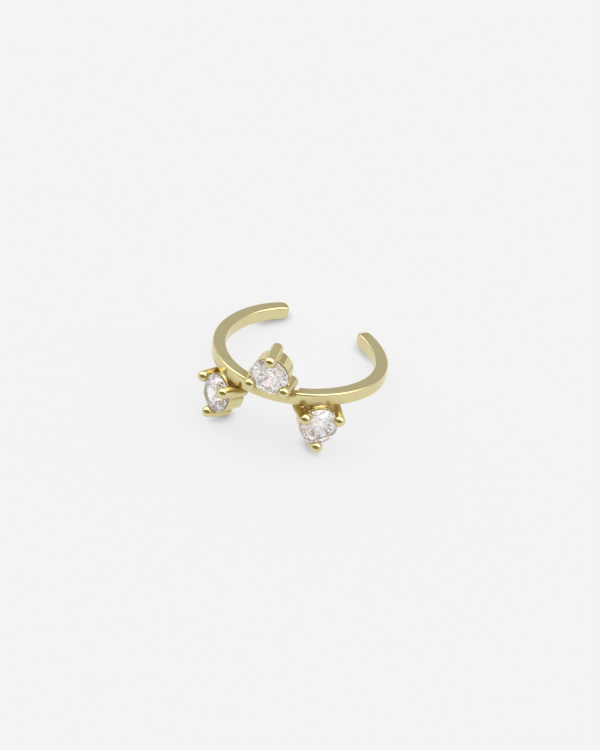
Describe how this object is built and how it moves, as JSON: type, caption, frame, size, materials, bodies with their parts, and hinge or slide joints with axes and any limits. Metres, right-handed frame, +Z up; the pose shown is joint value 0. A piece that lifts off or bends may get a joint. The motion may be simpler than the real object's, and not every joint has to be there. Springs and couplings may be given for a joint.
{
  "type": "ear cuff",
  "caption": "Open ear cuff: a square-section band with soft edges and claw settings above and below it at the front, each holding a round cut clear stone.",
  "frame": {"origin": "middle of the cuff's footprint, on the surface that it rests on", "axes": "+Z up with the cuff lying on its side as it comes to rest; -Y to the front, where the settings are; +Y to the gap; +X to the wearer's view right of the front"},
  "size_m": [0.013, 0.0128, 0.008],
  "materials": {
    "gold": "polished pale yellow gold plating",
    "clear_stone": "cut and polished"
  },
  "bodies": {
    "root": {"cuff_frame": "gold", "stone_left": "clear_stone", "stone_centre": "clear_stone", "stone_right": "clear_stone"}
  },
  "joints": []
}
